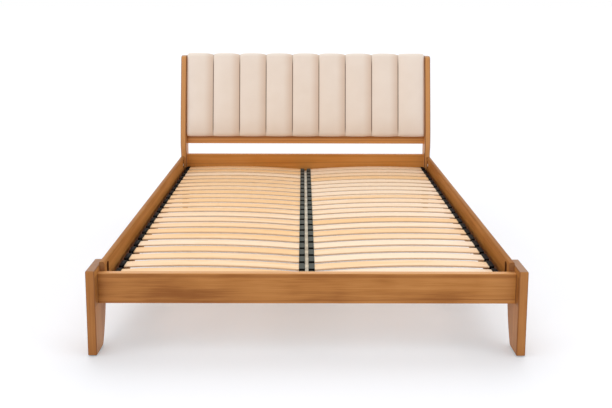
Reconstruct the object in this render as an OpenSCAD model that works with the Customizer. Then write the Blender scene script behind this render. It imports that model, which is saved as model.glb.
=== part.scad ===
// Double bed frame with an upholstered headboard and two rows of sprung slats.
// Units are millimetres. +Y runs from the foot to the head, +Z is up, and the
// origin is on the floor under the middle of the bed's bounding box.
// Inside the modules Y is counted from the front faces of the foot legs.

/* [Mattress space] */
// Width of the mattress
mattress_w = 1600; // [1400:50:1800]
// Length of the mattress
mattress_l = 2000; // [1900:50:2100]
// Play between the mattress and each side rail
side_play = 11; // [8:1:15]
// Play between the mattress and the head posts
end_play = 21; // [10:1:25]

/* [Foot end] */
// Thickness of the foot legs, across the bed
leg_t = 36; // [32:1:45]
// Height of the foot legs
leg_h = 351; // [335:1:360]
// Depth of a foot leg at its top
leg_top_d = 150; // [140:1:160]
// Depth of a foot leg at half its height
leg_mid_d = 157; // [150:1:165]
// Depth of a foot leg at its sole
leg_sole_d = 98; // [80:1:110]
// How far the foot rail stands behind the leg fronts
foot_rail_recess = 48; // [30:1:60]
// Thickness of the foot rail and of the headboard's cross rails
rail_t = 27; // [24:1:32]
// Underside of the foot rail above the floor
foot_rail_z = 201; // [190:1:210]
// Height of the foot rail
foot_rail_h = 125; // [110:1:130]

/* [Side rails] */
// Thickness of the side rails
side_rail_t = 22; // [21:1:30]
// Top of the side rails above the floor
side_rail_top = 363; // [355:1:370]
// Height of the side rails
side_rail_h = 161; // [140:1:168]
// Distance of a bolt pocket from the rail's end
pocket_end = 48; // [40:1:60]
// Width of a bolt pocket along the rail
pocket_w = 30; // [24:1:34]
// Height of a bolt pocket
pocket_h = 62; // [50:1:66]

/* [Headboard] */
// Thickness of the head posts, across the bed
post_t = 36; // [32:1:40]
// Height of the head posts
post_top_z = 1030; // [950:5:1060]
// Height at which the posts stand furthest forward
belly_z = 448; // [438:2:470]
// How far the belly stands in front of the rail seat
belly_out = 10; // [4:1:12]
// How far a post leans back from its belly to its top
post_lean = 94; // [85:1:105]
// Depth of a post at its belly
post_d = 106; // [100:1:120]
// Depth of a post at its top
post_top_d = 78; // [70:1:90]
// Depth of a post at its sole
post_sole_d = 82; // [70:1:95]
// Set-back of the cross rails behind the rail seat
cross_setback = 22; // [20:1:28]
// Underside of the lower cross rail
lower_rail_z = 206; // [196:1:212]
// Top of the lower cross rail
lower_rail_top = 374; // [366:1:380]
// Underside of the upper cross rail
upper_rail_z = 446; // [440:1:455]
// Height of the upper and the top cross rail
cross_rail_h = 80; // [70:1:90]
// Set-back of the upholstered panel behind the lower cross rail's front
panel_setback = 10; // [4:1:14]
// Lean of the upholstered panel in degrees
panel_lean = 9.5; // [8:0.5:11]

/* [Upholstery] */
// Number of vertical channels
channels = 9; // [5:2:11]
// Height of the pad along its lean
pad_h = 562; // [480:2:580]
// Thickness of the pad on the crown of a channel
pad_crown = 36; // [28:1:42]
// Thickness of the pad in a seam
pad_seam = 14; // [10:1:20]
// How much the top edge dips at each seam
pad_scallop = 12; // [0:1:16]
// Thickness of the board behind the pad
board_t = 12; // [9:1:15]

/* [Slats] */
// Rows of slats from foot to head
slat_rows = 22; // [16:1:22]
// Width of a slat
slat_w = 64; // [53:1:66]
// Thickness of a slat
slat_t = 8; // [7:0.5:9]
// Height of a slat above its chord
slat_bow = 13; // [8:1:16]
// Top of a slat where it leaves the centre cap
slat_centre_z = 276; // [271:1:281]
// Top of a slat where it leaves the side cap
slat_side_z = 288; // [283:1:293]
// Middle of the first slat behind the foot rail
first_slat = 95; // [60:1:110]
// Gap between the last slat and the lower cross rail
last_gap = 15; // [8:1:40]

/* [Hidden] */
slat_names = [for (i = [1 : slat_rows]) str("slat_pair_", i < 10 ? "0" : "", i)];

// Places across the bed, counted from its middle
inner_x = mattress_w / 2 + side_play;
rail_x = inner_x + side_rail_t;
post_x = rail_x - post_t;
bolt_in = 12.5;
bolt_x = rail_x - bolt_in;

// Places along the bed, counted from the leg fronts
foot_rail_back = foot_rail_recess + rail_t;
seat_y = foot_rail_back + mattress_l + end_play;
cross_y = seat_y + cross_setback;
post_back = seat_y - belly_out + post_d;
post_top_front = seat_y - belly_out + post_lean;
post_top_back = post_top_front + post_top_d;

// Heights
glide_t = 3;
side_rail_z = side_rail_top - side_rail_h;
pocket_down = 12;
pocket_z = side_rail_top - pocket_down - pocket_h / 2;
bolt_drop = 7;
bolt_z = pocket_z - bolt_drop;
cap_h = 17;
cap_top_r = 5;
cap_lip_r = 1.5;
mouth_floor = 3.6;
mouth_h = 10.2;
centre_play = 2;
side_cap_play = 1.4;
centre_cap_z = slat_centre_z - slat_t - centre_play - mouth_floor;
side_cap_z = slat_side_z - slat_t - side_cap_play - mouth_floor;
beam_h = 45;
ledge_h = 35;

// Slats and their caps
cap_l = 23;
cap_w = slat_w + 6;
side_cap_r = 10;
centre_cap_r = 3;
centre_cap_x = 8;
slat_x0 = centre_cap_x + cap_l;
cap_from_post = 2;
slat_x1 = post_x - cap_from_post - cap_l;
cap_bite = 19;
mouth_play = 0.4;
cap_wall = 2;
slat_pitch = (cross_y - last_gap - slat_w / 2 - foot_rail_back - first_slat) / (slat_rows - 1);
function slat_y(i) = foot_rail_back + first_slat + (i - 1) * slat_pitch;

// Sections of the bought-in wood and hardware
edge_r = 3;
dowel_r = 5;
dowel_l = 40;
dowel_play = 0.1;
bolt_r = 4;
beam_w = 68;
ledge_w = 62;
centre_leg_w = 44;
steel_t = 2.5;
peg_r = 4;
peg_l = 11;
ledge_screws_per_side = 7;
screw_r = 2;
screw_hole_r = 2.1;
screw_head_r = 4.5;
screw_head_t = 2.5;
ledge_head_r = 4;
ledge_head_t = 3.5;
hanger_screw_r = 2.25;
hanger_screw_l = 22;

wood = "peru";
pale_wood = "burlywood";
birch = "wheat";

module both_sides() { children(); mirror([1, 0, 0]) children(); }

// Curves. Outlines are lists of [y, z] that run anticlockwise.
function unit(v) = v / norm(v);
function bez2(a, b, c, n) =
    [for (i = [0 : n]) let (t = i / n) pow(1 - t, 2) * a + 2 * t * (1 - t) * b + t * t * c];
function bez3(a, b, c, d, n) =
    [for (i = [0 : n]) let (t = i / n)
        pow(1 - t, 3) * a + 3 * t * pow(1 - t, 2) * b + 3 * t * t * (1 - t) * c + pow(t, 3) * d];
function rounded_corner(from, corner, to, r, n = 5) =
    bez2(corner + r * unit(from - corner), corner, corner + r * unit(to - corner), n);
function left_of(v) = [-v[1], v[0]];
function inset(pts, d) =
    [for (i = [0 : len(pts) - 1])
        let (n = len(pts), a = unit(pts[i] - pts[(i + n - 1) % n]),
             b = unit(pts[(i + 1) % n] - pts[i]), m = unit(left_of(a) + left_of(b)))
        pts[i] + m * d / (m * left_of(a))];

// A plank of the given outline, x from 0 to t, with every edge rounded to r
module rounded_plank(outline, t, r) {
    steps = 3;
    n = len(outline);
    low = [for (k = [0 : steps]) let (a = 90 * k / steps) [r * (1 - cos(a)), r * (1 - sin(a))]];
    levels = concat(low, [for (k = [steps : -1 : 0]) [t - low[k][0], low[k][1]]]);
    last = len(levels) - 1;
    points = [for (l = levels) each [for (p = inset(outline, l[1])) [l[0], p[0], p[1]]]];
    walls = [for (j = [0 : last - 1], i = [0 : n - 1])
        let (a = j * n + i, b = j * n + (i + 1) % n, c = b + n, d = a + n)
        each [[a, c, b], [a, d, c]]];
    ends = [[for (i = [0 : n - 1]) i], [for (i = [n - 1 : -1 : 0]) last * n + i]];
    polyhedron(points, concat(walls, ends));
}

// A bar of section [a, b] and length l along Z, its long edges rounded
module rounded_bar(a, b, l, r = edge_r) {
    function corner(x, y, start) =
        [for (k = [0 : 4]) [x + r * cos(start + 22.5 * k), y + r * sin(start + 22.5 * k)]];
    linear_extrude(l)
        polygon(concat(corner(a - r, b - r, 0), corner(r, b - r, 90),
                       corner(r, r, 180), corner(a - r, r, 270)));
}

// Bars that lie across the bed and along it, from their low corner
module bar_x(l, d, h) rotate([90, 0, 90]) rounded_bar(d, h, l);
module bar_y(w, l, h) translate([0, l, 0]) rotate([90, 0, 0]) rounded_bar(w, h, l);

// Dowels: one in each of these places, half in each of the two pieces
side_dowel_z = [side_rail_z + 36, side_rail_z + 68];
foot_dowel_z = [foot_rail_z + 18, foot_rail_z + 85];
lower_dowel_z = [lower_rail_z + 34, lower_rail_top - 34];
lean_dowel_z = [14, cross_rail_h - 14];
top_rail_up = pad_h - 78;

module dowel_x(r = dowel_r, l = dowel_l) rotate([0, 90, 0]) cylinder(r = r, h = l, center = true, $fn = 32);
module dowel_y(r = dowel_r, l = dowel_l) rotate([90, 0, 0]) cylinder(r = r, h = l, center = true, $fn = 32);
module on_lean()
    translate([0, cross_y + panel_setback, upper_rail_z]) rotate([-panel_lean, 0, 0]) children();

module all_dowels(r, l) both_sides() {
    for (z = side_dowel_z) {
        translate([bolt_x, foot_rail_back, z]) dowel_y(r, l);
        translate([bolt_x, seat_y, z]) dowel_y(r, l);
    }
    for (z = foot_dowel_z)
        translate([rail_x, foot_rail_recess + rail_t / 2, z]) dowel_x(r, l);
    for (z = lower_dowel_z)
        translate([post_x, cross_y + rail_t / 2, z]) dowel_x(r, l);
    on_lean() for (up = [0, top_rail_up], z = lean_dowel_z)
        translate([post_x, rail_t / 2, up + z]) dowel_x(r, l);
}
module dowel_holes() all_dowels(dowel_r + dowel_play, dowel_l + 2);

// Bed bolts: a threaded rod runs from an insert nut through the rail's end into a pocket
foot_pocket_y = foot_rail_back + pocket_end;
head_pocket_y = seat_y - pocket_end;
insert_l = 20;
insert_r = 6;
bolt_l = pocket_end + insert_l - 2;
washer_t = 2.5;

// Draws its children at both ends of both rails, +Y running into the rail from the joint
module at_rail_ends() both_sides() {
    translate([bolt_x, foot_rail_back, bolt_z]) children();
    translate([bolt_x, seat_y, bolt_z]) mirror([0, 1, 0]) children();
}
module insert_holes()
    at_rail_ends() translate([0, 1, 0]) rotate([90, 0, 0])
        cylinder(r = insert_r + 0.1, h = insert_l + 3, $fn = 32);

// Foot legs: planks with a bellied back edge that narrows to the sole
sole_r = 5;
leg_heel_r = 10;
leg_top_r = 8;
leg_outline = let (
        sole_back = [leg_sole_d, glide_t], top_back = [leg_top_d, leg_h],
        mid = [2 * leg_mid_d - (leg_sole_d + leg_top_d) / 2, (leg_h + glide_t) / 2],
        top_front = [0, leg_h], sole_front = [0, glide_t],
        back_low = sole_back + leg_heel_r * unit(mid - sole_back),
        back_high = top_back + leg_top_r * unit(mid - top_back))
    concat(rounded_corner(top_front, sole_front, sole_back, sole_r, 3),
           bez2(sole_back - [leg_heel_r, 0], sole_back, back_low, 4),
           [for (p = bez2(back_low, mid, back_high, 20)) if (p != back_low && p != back_high) p],
           bez2(back_high, top_back, top_back - [leg_top_r, 0], 4),
           rounded_corner(top_back, top_front, sole_front, leg_top_r, 6));

module foot_leg() difference() {
    translate([rail_x, 0, 0]) rounded_plank(leg_outline, leg_t, edge_r);
    dowel_holes();
}
module foot_leg_right() in_frame() color(wood) foot_leg();
module foot_leg_left() in_frame() color(wood) mirror([1, 0, 0]) foot_leg();

module foot_rail() in_frame() color(wood) difference() {
    translate([-rail_x, foot_rail_recess, foot_rail_z]) bar_x(2 * rail_x, rail_t, foot_rail_h);
    dowel_holes();
    insert_holes();
    hanger_screw_holes();
}

// Head posts: sabre-shaped planks, upright behind the side rails and leaning back above
back_aim = [0.12, 0.99];
front_aim = [0.17, 0.98];
post_back_r = 14;
post_front_r = 26;
belly_pull = 40;
toe_pull = 90;
toe_end = 8;
post_outline = let (
        sole_front = [post_back - post_sole_d, glide_t], sole_back = [post_back, glide_t],
        back_belly = [post_back, belly_z], top_back = [post_top_back, post_top_z],
        back_pull = top_back - back_aim * (post_top_z - belly_z) / 3,
        back_high = top_back + post_back_r * unit(back_pull - top_back),
        top_front = [post_top_front, post_top_z],
        front_pull = top_front - front_aim * (post_top_z - belly_z) / 3,
        front_high = top_front + post_front_r * unit(front_pull - top_front),
        belly = [seat_y - belly_out, belly_z], rise = (post_top_z - belly_z) / 6,
        seat_top = [seat_y, side_rail_top], seat_low = [seat_y, side_rail_z])
    concat(rounded_corner(seat_low, sole_front, sole_back, sole_r, 3),
           rounded_corner(sole_front, sole_back, back_belly, sole_r, 3),
           bez3(back_belly, back_belly + [0, rise], back_pull, back_high, 14),
           [for (p = bez2(back_high, top_back, top_back - [post_back_r, 0], 4)) if (p != back_high) p],
           bez2(top_front + [post_front_r, 0], top_front, front_high, 6),
           [for (p = bez3(front_high, front_pull, belly + [0, rise], belly, 16)) if (p != front_high) p],
           [for (p = bez3(belly, belly - [0, belly_pull], seat_top + [0, belly_pull], seat_top, 8))
               if (p != belly) p],
           bez2(seat_low, seat_low - [0, toe_pull], sole_front + toe_end * unit(seat_low - sole_front), 8));

// The bed reaches from the leg fronts to the rearmost point of the posts
bed_l = max([for (p = post_outline) p[0]]);
module in_frame() translate([0, -bed_l / 2, 0]) children();

module head_post() difference() {
    translate([post_x, 0, 0]) rounded_plank(post_outline, post_t, edge_r);
    dowel_holes();
    insert_holes();
}
module headboard_post_right() in_frame() color(wood) head_post();
module headboard_post_left() in_frame() color(wood) mirror([1, 0, 0]) head_post();

module headboard_lower_rail() in_frame() color(wood) difference() {
    translate([-post_x, cross_y, lower_rail_z]) bar_x(2 * post_x, rail_t, lower_rail_top - lower_rail_z);
    dowel_holes();
    hanger_screw_holes();
}
module cross_rail_on_lean(up) difference() {
    on_lean() translate([-post_x, 0, up]) bar_x(2 * post_x, rail_t, cross_rail_h);
    dowel_holes();
    board_screw_set(screw_hole_r, 0);
}
module headboard_upper_rail() in_frame() color(wood) cross_rail_on_lean(0);
module headboard_top_rail() in_frame() color(pale_wood) cross_rail_on_lean(top_rail_up);

// Upholstered panel: a board screwed to the rails from behind carries the channelled pad
board_margin = 3;
pad_w = 2 * post_x - 3;
pad_bottom = 46;
module headboard_board() in_frame() color(pale_wood) difference() {
    on_lean() translate([-pad_w / 2 + board_margin, -board_t, pad_bottom + board_margin])
        cube([pad_w - 2 * board_margin, board_t, pad_h - 2 * board_margin - pad_scallop]);
    board_screw_set(screw_hole_r, 0);
}

// Board screws come through the rails from behind and stop inside the board
board_screw_l = rail_t + 8;
module board_screw_set(r, head_r) both_sides() on_lean()
    for (x = [post_x * 0.2, post_x * 0.6, post_x * 0.9],
         z = [cross_rail_h - 14, top_rail_up + cross_rail_h / 2])
        translate([x, rail_t, z]) rotate([90, 0, 0]) {
            cylinder(r = r, h = board_screw_l, $fn = 24);
            if (head_r > 0) translate([0, 0, -screw_head_t])
                cylinder(r = head_r, h = screw_head_t, $fn = 24);
        }
module board_screws() in_frame() color("silver") board_screw_set(screw_r, screw_head_r);

// The pad is lofted across the bed: one closed loop in [y, z] for each station. Its two
// sides stay full up to the posts, and have two stations more each.
stations_per_channel = 6;
pad_sides = [0, 3, 10];
edge_round = 26;
front_crown = 2;
loop_n = 15;
function channel_place(x) = let (c = (x / pad_w + 0.5) * channels) 2 * (c - floor(c)) - 1;
function swell(u) = pow(max(0, 1 - pow(abs(u), 2.2)), 0.62);
function side_swell(u) = pow(max(0, 1 - pow(abs(u), 6)), 0.5);
function fullness(x) =
    abs(x) > pad_w / 2 * (1 - 1 / channels) ? side_swell(channel_place(x)) : swell(channel_place(x));
function pad_loop(x) =
    let (s = fullness(x), t = pad_seam + (pad_crown - pad_seam) * s,
         low = pad_bottom + 4 * (1 - s), high = pad_bottom + pad_h - pad_scallop * (1 - s))
    concat([for (a = [0 : 22.5 : 90]) [x, -board_t - t * sin(a), low + edge_round * (1 - cos(a))]],
           [for (k = [1 : 5]) [x, -board_t - t - front_crown * sin(30 * k),
                               low + edge_round + k / 6 * (high - low - 2 * edge_round)]],
           [for (a = [90 : -22.5 : 0]) [x, -board_t - t * sin(a), high - edge_round * (1 - cos(a))]]);

module headboard_pad() in_frame() color("antiquewhite") on_lean() {
    inner = channels * stations_per_channel;
    left = [for (d = pad_sides) d - pad_w / 2];
    xs = concat(left, [for (i = [1 : inner - 1]) (i / inner - 0.5) * pad_w],
                [for (k = [len(left) - 1 : -1 : 0]) -left[k]]);
    count = len(xs) - 1;
    points = [for (x = xs) each pad_loop(x)];
    walls = [for (i = [0 : count - 1], j = [0 : loop_n - 1])
        let (a = i * loop_n + j, b = i * loop_n + (j + 1) % loop_n, c = b + loop_n, d = a + loop_n)
        each [[a, b, c], [a, c, d]]];
    ends = [[for (j = [loop_n - 1 : -1 : 0]) j], [for (j = [0 : loop_n - 1]) count * loop_n + j]];
    polyhedron(points, concat(walls, ends));
}

// Side rails with a bolt pocket near each end, open to the inside of the bed
pocket_floor = 4;
module pocket() translate([inner_x - 1, 0, pocket_z]) rotate([90, 0, 90]) {
    depth = side_rail_t - pocket_floor + 1;
    for (s = [-1, 1]) translate([0, s * (pocket_h - pocket_w) / 2, 0])
        cylinder(d = pocket_w, h = depth, $fn = 48);
    translate([-pocket_w / 2, -(pocket_h - pocket_w) / 2, 0])
        cube([pocket_w, pocket_h - pocket_w, depth]);
}
module side_rail() difference() {
    translate([inner_x, foot_rail_back, side_rail_z])
        bar_y(side_rail_t, seat_y - foot_rail_back, side_rail_h);
    translate([0, foot_pocket_y, 0]) pocket();
    translate([0, head_pocket_y, 0]) pocket();
    at_rail_ends() translate([0, -1, 0]) rotate([-90, 0, 0])
        cylinder(r = bolt_r + 0.5, h = pocket_end, $fn = 32);
    dowel_holes();
    ledge_screw_set(screw_hole_r, 0);
}
module side_rail_right() in_frame() color(wood) side_rail();
module side_rail_left() in_frame() color(wood) mirror([1, 0, 0]) side_rail();

module bed_bolts() in_frame() color("silver") at_rail_ends()
    translate([0, 2 - insert_l, 0]) rotate([-90, 0, 0]) cylinder(r = bolt_r, h = bolt_l, $fn = 32);
module insert_nuts() in_frame() color("goldenrod") at_rail_ends() rotate([90, 0, 0]) difference() {
    cylinder(r = insert_r, h = insert_l, $fn = 32);
    translate([0, 0, -1]) cylinder(r = bolt_r + 0.05, h = insert_l + 2, $fn = 32);
}

// The washer is a half-moon plate that bears on the end wall of the pocket
washer_y = pocket_end - pocket_w / 2 + 0.2;
washer_r = 10.5;
washer_in = 8.5;
washer_out = 6;
nut_y = washer_y + washer_t + 0.2;
nut_d = 14.5;
nut_h = 6.5;
module half_moon_washers() in_frame() color("silver") at_rail_ends()
    translate([0, washer_y, 0]) rotate([-90, 0, 0]) difference() {
        intersection() {
            cylinder(r = washer_r, h = washer_t, $fn = 48);
            translate([-washer_in, -washer_r, -1])
                cube([washer_in + washer_out, 2 * washer_r, washer_t + 2]);
        }
        translate([0, 0, -1]) cylinder(r = bolt_r + 0.3, h = washer_t + 2, $fn = 32);
    }
module bolt_nuts() in_frame() color("silver") at_rail_ends()
    translate([0, nut_y, 0]) rotate([-90, 0, 0]) difference() {
        cylinder(d = nut_d, h = nut_h, $fn = 6);
        translate([0, 0, -1]) cylinder(r = bolt_r + 0.05, h = nut_h + 2, $fn = 32);
    }
module dowels() in_frame() color("tan") all_dowels(dowel_r, dowel_l);

// Side ledges carry the outer slat caps on pegs
module side_ledge() difference() {
    translate([inner_x - ledge_w, foot_rail_back + 2, side_cap_z - ledge_h])
        cube([ledge_w, seat_y - foot_rail_back - 4, ledge_h]);
    for (i = [1 : slat_rows]) translate([slat_x1 + cap_l / 2, slat_y(i), side_cap_z - peg_l - 1])
        cylinder(r = peg_r + 0.2, h = peg_l + 2, $fn = 24);
    ledge_screw_set(screw_hole_r, ledge_head_r + 0.1);
}
module side_ledge_right() in_frame() color(wood) side_ledge();
module side_ledge_left() in_frame() color(wood) mirror([1, 0, 0]) side_ledge();

// Ledge screws sit halfway between pegs, with countersunk heads
ledge_screw_l = ledge_w + 16;
module ledge_screw_set(r, head_r) for (k = [0 : ledge_screws_per_side - 1])
    let (row = 1 + round(k * (slat_rows - 2) / (ledge_screws_per_side - 1)))
    translate([inner_x - ledge_w, slat_y(row) + slat_pitch / 2, side_cap_z - ledge_h / 2])
        rotate([0, 90, 0]) {
            cylinder(r = r, h = ledge_screw_l, $fn = 24);
            if (head_r > 0) translate([0, 0, -0.01])
                cylinder(r1 = head_r, r2 = r, h = ledge_head_t, $fn = 24);
        }
module ledge_screws() in_frame() color("silver") both_sides() ledge_screw_set(screw_r, ledge_head_r);

// Centre beam with the inner caps on top, hung in a steel tray at each end
beam_z = centre_cap_z - beam_h;
hanger_gap = 1;
beam_y0 = foot_rail_back + steel_t + hanger_gap;
beam_y1 = cross_y - steel_t - hanger_gap;
centre_leg_y = (beam_y0 + beam_y1) / 2;
leg_bolt_l = 70;
module centre_beam() in_frame() color(birch) difference() {
    translate([-beam_w / 2, beam_y0, beam_z]) cube([beam_w, beam_y1 - beam_y0, beam_h]);
    both_sides() for (i = [1 : slat_rows])
        translate([centre_cap_x + cap_l / 2, slat_y(i), centre_cap_z - peg_l - 1])
            cylinder(r = peg_r + 0.2, h = peg_l + 2, $fn = 24);
    leg_bolt_rod(bolt_r + 0.1, leg_bolt_l + 2);
}
module leg_bolt_rod(r, l) translate([0, centre_leg_y, beam_z - l / 2]) cylinder(r = r, h = l, $fn = 32);
module centre_leg() in_frame() color(wood) difference() {
    translate([-centre_leg_w / 2, centre_leg_y - centre_leg_w / 2, glide_t])
        rounded_bar(centre_leg_w, centre_leg_w, beam_z - glide_t);
    leg_bolt_rod(bolt_r + 0.1, leg_bolt_l + 2);
}
module centre_leg_bolt() in_frame() color("silver") leg_bolt_rod(bolt_r, leg_bolt_l);

// A hanger is a folded plate: a back with two ears, a floor and two cheeks
ear_w = 22;
tray_d = 40;
cheek_h = 30;
tray_w = beam_w + 1 + 2 * steel_t;
tray_z = beam_z - steel_t;
ear_x = tray_w / 2 + ear_w / 2;
ear_z = [tray_z + 10, tray_z + 36];
module hanger() difference() {
    union() {
        translate([-tray_w / 2 - ear_w, 0, tray_z]) cube([tray_w + 2 * ear_w, steel_t, beam_h + steel_t]);
        translate([-tray_w / 2, 0, tray_z]) cube([tray_w, tray_d, steel_t]);
        both_sides() translate([tray_w / 2 - steel_t, 0, tray_z]) cube([steel_t, tray_d, cheek_h]);
    }
    both_sides() for (z = ear_z) translate([ear_x, -1, z]) rotate([-90, 0, 0])
        cylinder(r = 2.6, h = steel_t + 2, $fn = 24);
}
module at_hangers() {
    translate([0, foot_rail_back, 0]) children();
    translate([0, cross_y, 0]) mirror([0, 1, 0]) children();
}
module beam_hanger_foot() in_frame() color("silver") translate([0, foot_rail_back, 0]) hanger();
module beam_hanger_head() in_frame() color("silver")
    translate([0, cross_y, 0]) mirror([0, 1, 0]) hanger();
module hanger_screw_set(r, head_r, l) at_hangers() both_sides() for (z = ear_z)
    translate([ear_x, steel_t, z]) rotate([90, 0, 0]) {
        cylinder(r = r, h = l, $fn = 24);
        if (head_r > 0) translate([0, 0, -screw_head_t]) cylinder(r = head_r, h = screw_head_t, $fn = 24);
    }
module hanger_screw_holes() hanger_screw_set(hanger_screw_r + 0.1, 0, hanger_screw_l + 1);
module hanger_screws() in_frame() color("silver")
    hanger_screw_set(hanger_screw_r, screw_head_r, hanger_screw_l);

// Slat caps: plastic sockets on pegs. X runs from the mouth to the closed end, whose
// corners are rounded to end_r in plan.
function cap_corner(x, y, r, start) =
    [for (k = [0 : 4]) [x + r * cos(start + 22.5 * k), y + r * sin(start + 22.5 * k)]];
function cap_plan(x0, x1, half_w, r) =
    concat(cap_corner(x1 - r, r - half_w, r, -90), cap_corner(x1 - r, half_w - r, r, 0),
           [[x0, half_w], [x0, -half_w]]);
module cap(end_r) difference() {
    union() {
        intersection() {
            translate([0, cap_w / 2, 0]) rotate([90, 0, 0]) linear_extrude(cap_w)
                polygon(concat([[0, 0], [cap_l, 0]],
                               cap_corner(cap_l - cap_top_r, cap_h - cap_top_r, cap_top_r, 0),
                               cap_corner(cap_lip_r, cap_h - cap_lip_r, cap_lip_r, 90)));
            linear_extrude(cap_h) polygon(cap_plan(0, cap_l, cap_w / 2, end_r));
        }
        translate([cap_l / 2, 0, -peg_l]) cylinder(r = peg_r, h = peg_l + 1, $fn = 24);
    }
    translate([0, 0, mouth_floor]) linear_extrude(mouth_h)
        polygon(cap_plan(-1, cap_bite + mouth_play, slat_w / 2 + mouth_play, end_r - cap_wall));
}
module side_caps() for (i = [1 : slat_rows]) translate([slat_x1, slat_y(i), side_cap_z]) cap(side_cap_r);
module centre_caps() for (i = [1 : slat_rows])
    translate([slat_x0, slat_y(i), centre_cap_z]) mirror([1, 0, 0]) cap(centre_cap_r);
module side_caps_right() in_frame() color("dimgray") side_caps();
module side_caps_left() in_frame() color("dimgray") mirror([1, 0, 0]) side_caps();
module centre_caps_right() in_frame() color("dimgray") centre_caps();
module centre_caps_left() in_frame() color("dimgray") mirror([1, 0, 0]) centre_caps();

// Slats are bowed upwards, and their side ends sit higher than their centre ends
slat_steps = 14;
slat_corner = 9;
function slat_top(x) = let (t = (x - slat_x0) / (slat_x1 - slat_x0))
    slat_centre_z + (slat_side_z - slat_centre_z) * t + 4 * slat_bow * t * (1 - t);
slat_profile = let (x0 = slat_x0 - cap_bite, x1 = slat_x1 + cap_bite,
                    xs = [for (k = [0 : slat_steps]) x0 + (x1 - x0) * k / slat_steps])
    concat([for (x = xs) [x, slat_top(x) - slat_t]],
           [for (k = [slat_steps : -1 : 0]) [xs[k], slat_top(xs[k])]]);
module slat() intersection() {
    translate([0, slat_w / 2, 0]) rotate([90, 0, 0]) linear_extrude(slat_w) polygon(slat_profile);
    translate([slat_x0 - cap_bite, -slat_w / 2, slat_centre_z - 40])
        rounded_bar(slat_x1 - slat_x0 + 2 * cap_bite, slat_w, 80, slat_corner);
}
module slat_pair(i) in_frame() color(birch) both_sides() translate([0, slat_y(i), 0]) slat();

// Plastic glides under the four legs and the centre leg
glide_r = 15;
module floor_glides() in_frame() color("gray") {
    both_sides() {
        translate([rail_x + leg_t / 2, leg_sole_d / 2, 0]) cylinder(r = glide_r, h = glide_t, $fn = 40);
        translate([rail_x - post_t / 2, post_back - post_sole_d / 2, 0])
            cylinder(r = glide_r, h = glide_t, $fn = 40);
    }
    translate([0, centre_leg_y, 0]) cylinder(r = glide_r, h = glide_t, $fn = 40);
}

headboard_post_left();
headboard_post_right();
headboard_lower_rail();
headboard_upper_rail();
headboard_top_rail();
headboard_board();
headboard_pad();
foot_leg_left();
foot_leg_right();
foot_rail();
side_rail_left();
side_rail_right();
side_ledge_left();
side_ledge_right();
centre_beam();
beam_hanger_foot();
beam_hanger_head();
centre_leg();
centre_leg_bolt();
floor_glides();
bed_bolts();
half_moon_washers();
bolt_nuts();
insert_nuts();
dowels();
ledge_screws();
hanger_screws();
board_screws();
side_caps_left();
side_caps_right();
centre_caps_left();
centre_caps_right();
for (i = [1 : slat_rows]) slat_pair(i);
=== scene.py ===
import math
import random
from contextlib import contextmanager

import bpy
from bpy.props import FloatProperty, FloatVectorProperty, IntProperty, PointerProperty
from mathutils import Matrix, Vector


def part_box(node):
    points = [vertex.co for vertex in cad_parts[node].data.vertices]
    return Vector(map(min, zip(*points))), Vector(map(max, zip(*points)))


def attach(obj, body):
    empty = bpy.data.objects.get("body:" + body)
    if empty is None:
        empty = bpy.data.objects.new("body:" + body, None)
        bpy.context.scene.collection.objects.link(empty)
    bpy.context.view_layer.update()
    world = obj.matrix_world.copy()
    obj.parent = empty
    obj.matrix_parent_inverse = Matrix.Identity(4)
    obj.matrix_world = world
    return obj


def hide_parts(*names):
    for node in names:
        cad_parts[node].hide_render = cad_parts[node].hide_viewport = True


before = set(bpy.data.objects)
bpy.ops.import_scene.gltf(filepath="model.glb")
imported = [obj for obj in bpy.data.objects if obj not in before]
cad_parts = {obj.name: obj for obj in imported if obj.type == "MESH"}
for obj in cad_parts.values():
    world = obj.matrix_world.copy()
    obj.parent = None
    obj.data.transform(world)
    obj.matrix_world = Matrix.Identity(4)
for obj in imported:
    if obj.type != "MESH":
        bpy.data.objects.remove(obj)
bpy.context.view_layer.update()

bl_info = {
    "name": "Double Bed",
    "version": (1, 0, 0),
    "blender": (4, 5, 0),
    "location": "View3D > Sidebar > Bed",
    "description": "Stained planks, bowed slats in plastic caps and a channelled headboard",
    "category": "Object",
}

BODY = "root"
FOOT_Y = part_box("foot_leg_right")[0].y
SIDE_LOW, SIDE_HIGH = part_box("side_rail_right")
CROSS_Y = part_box("headboard_lower_rail")[0].y
PAD_LOW, PAD_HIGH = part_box("headboard_pad")
PHOTO_WIDTH, PHOTO_HEIGHT = 612, 408
WHITE = (1.0, 1.0, 1.0, 1.0)
AXES = ((1, 0, 0), (0, 1, 0), (0, 0, 1))
NEAR = 0.001  # a point this close to a side belongs to it
TOUCHING = 1e-5  # two places this close are one


# Properties

def length(name, description, default):
    return FloatProperty(name=name, description=description, default=default, min=0.0, unit="LENGTH",
                         precision=4)


def paint(name, description, *levels):
    """A colour given as on a paint chart, by its red, green and blue from 0 to 255."""
    def linear(level):
        level /= 255
        return level / 12.92 if level <= 0.04045 else ((level + 0.055) / 1.055) ** 2.4
    return FloatVectorProperty(name=name, description=description, subtype="COLOR", size=4, min=0.0,
                               max=1.0, default=(*map(linear, levels), 1.0))


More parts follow.
